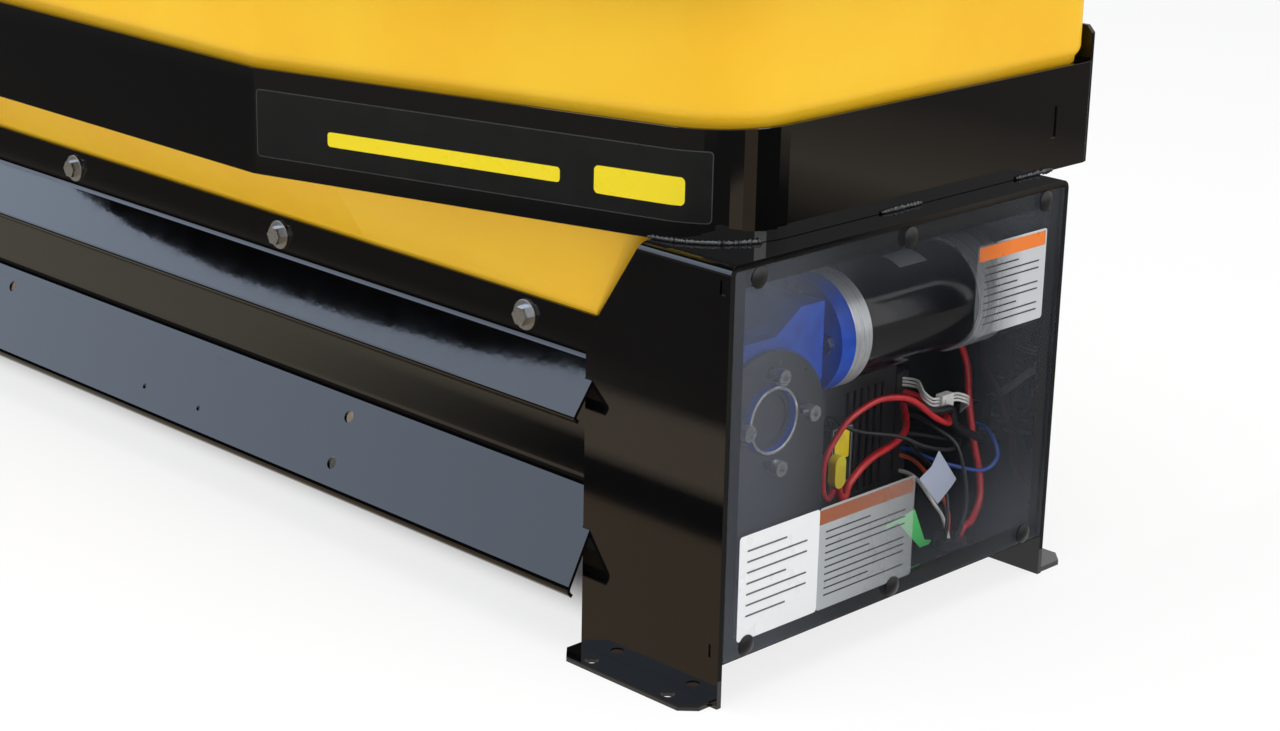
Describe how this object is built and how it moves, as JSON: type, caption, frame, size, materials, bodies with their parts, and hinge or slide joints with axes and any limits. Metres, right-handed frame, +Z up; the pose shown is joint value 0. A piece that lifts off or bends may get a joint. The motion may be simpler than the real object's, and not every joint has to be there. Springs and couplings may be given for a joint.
{
  "type": "tailgate salt spreader",
  "caption": "Drop-type salt spreader: long lidded hopper over an auger trough with a sliding gate, between end frames on feet, with a worm-gear motor drive behind a clear cover.",
  "frame": {"origin": "middle of the part's own box in plan, on the floor that the feet stand on", "axes": "+X along the machine to the drive end with the clear cover; -Y is the front, where the band tapers and the eave is; +Z up"},
  "size_m": [1.7484, 0.613, 0.6525],
  "materials": {
    "powder_coat_black": "gloss",
    "polyethylene_yellow": "satin",
    "polyethylene_black": "satin",
    "lid_fittings_black": "satin",
    "zinc_steel": "satin",
    "stainless_fixings": "brushed",
    "gate_steel": "satin",
    "auger_steel": "satin",
    "seal_rubber": "matte",
    "bearing_iron": "rough",
    "bearing_steel": "polished",
    "fitting_brass": "satin",
    "gearbox_blue": "gloss",
    "wheel_bronze": "satin",
    "worm_steel": "satin",
    "plate_grey": "matte",
    "motor_black": "gloss",
    "bell_aluminium": "machined",
    "clear_polycarbonate": "clear",
    "rivet_nylon": "satin",
    "electronics_black": "satin",
    "fuse_yellow": "gloss",
    "connector_white": "satin",
    "insulation_red": "satin",
    "insulation_black": "satin",
    "insulation_blue": "satin",
    "insulation_orange": "satin",
    "insulation_white": "satin"
  },
  "bodies": {
    "frame": {"drive_end_frame": "powder_coat_black", "drive_bulkhead": "powder_coat_black", "idler_end_frame": "powder_coat_black", "idler_bulkhead": "powder_coat_black", "front_band": "powder_coat_black", "drive_band": "powder_coat_black", "idler_band": "powder_coat_black", "back_plate": "powder_coat_black", "hopper": "polyethylene_yellow", "hopper_hinges": "zinc_steel", "hinge_pins": "zinc_steel", "trough_walls": "powder_coat_black", "trough_bridges": "powder_coat_black", "front_eave": "powder_coat_black", "rear_strip": "powder_coat_black", "front_deflector": "powder_coat_black", "rear_deflector": "powder_coat_black", "hopper_bolts": "stainless_fixings", "hopper_washers": "stainless_fixings", "hopper_nuts": "stainless_fixings", "gate_hangers": "powder_coat_black", "shaft_seals": "seal_rubber", "idler_bearing_housing": "bearing_iron", "idler_bearing_bolts": "stainless_fixings", "grease_fitting": "fitting_brass", "gearbox_housing": "gearbox_blue", "gearbox_rear_cover": "gearbox_blue", "worm_bearings": "bearing_steel", "output_cap": "seal_rubber", "reaction_plate": "plate_grey", "reaction_plate_fixings": "stainless_fixings", "motor_can": "motor_black", "motor_front_bell": "bell_aluminium", "motor_rear_bell": "bell_aluminium", "motor_flange_bolts": "stainless_fixings", "clear_cover": "clear_polycarbonate", "cover_rivets": "rivet_nylon", "control_module": "electronics_black", "terminal_strip": "electronics_black", "relay_block": "electronics_black", "inline_fuse": "fuse_yellow", "inline_connector": "connector_white", "sensor_plug": "electronics_black", "harness_inlet": "electronics_black", "red_wires": "insulation_red", "black_wires": "insulation_black", "blue_wire": "insulation_blue", "orange_wire": "insulation_orange", "white_wires": "insulation_white"},
    "auger": {"auger_shaft": "auger_steel", "auger_flighting": "auger_steel", "worm_wheel": "wheel_bronze", "idler_bearing_insert": "bearing_steel"},
    "motor_rotor": {"worm_and_armature": "worm_steel"},
    "gate": {"gate_rails": "gate_steel", "gate_bridges": "gate_steel", "gate_handle": "gate_steel"},
    "lid": {"hopper_lid": "polyethylene_black", "lid_handle": "lid_fittings_black", "lid_hinges": "zinc_steel"}
  },
  "joints": [
    {"name": "auger_spin", "type": "hinge", "parent": "frame", "child": "auger", "pos_m": [-0.00125, -0.0975, 0.203], "axis": [1, 0, 0], "continuous": true},
    {"name": "worm_spin", "type": "hinge", "parent": "frame", "child": "motor_rotor", "pos_m": [0.78275, 0, 0.246], "axis": [0, 1, 0], "continuous": true},
    {"name": "gate_slide", "type": "slide", "parent": "frame", "child": "gate", "axis": [-1, 0, 0], "range_m": [0, 0.054]},
    {"name": "lid_hinge", "type": "hinge", "parent": "frame", "child": "lid", "pos_m": [-0.00125, 0.3005, 0.5605], "axis": [-1, 0, 0], "range_deg": [0, 100]}
  ],
  "couplings": [
    {"joint": "worm_spin", "follows": "auger_spin", "ratio": 30}
  ]
}
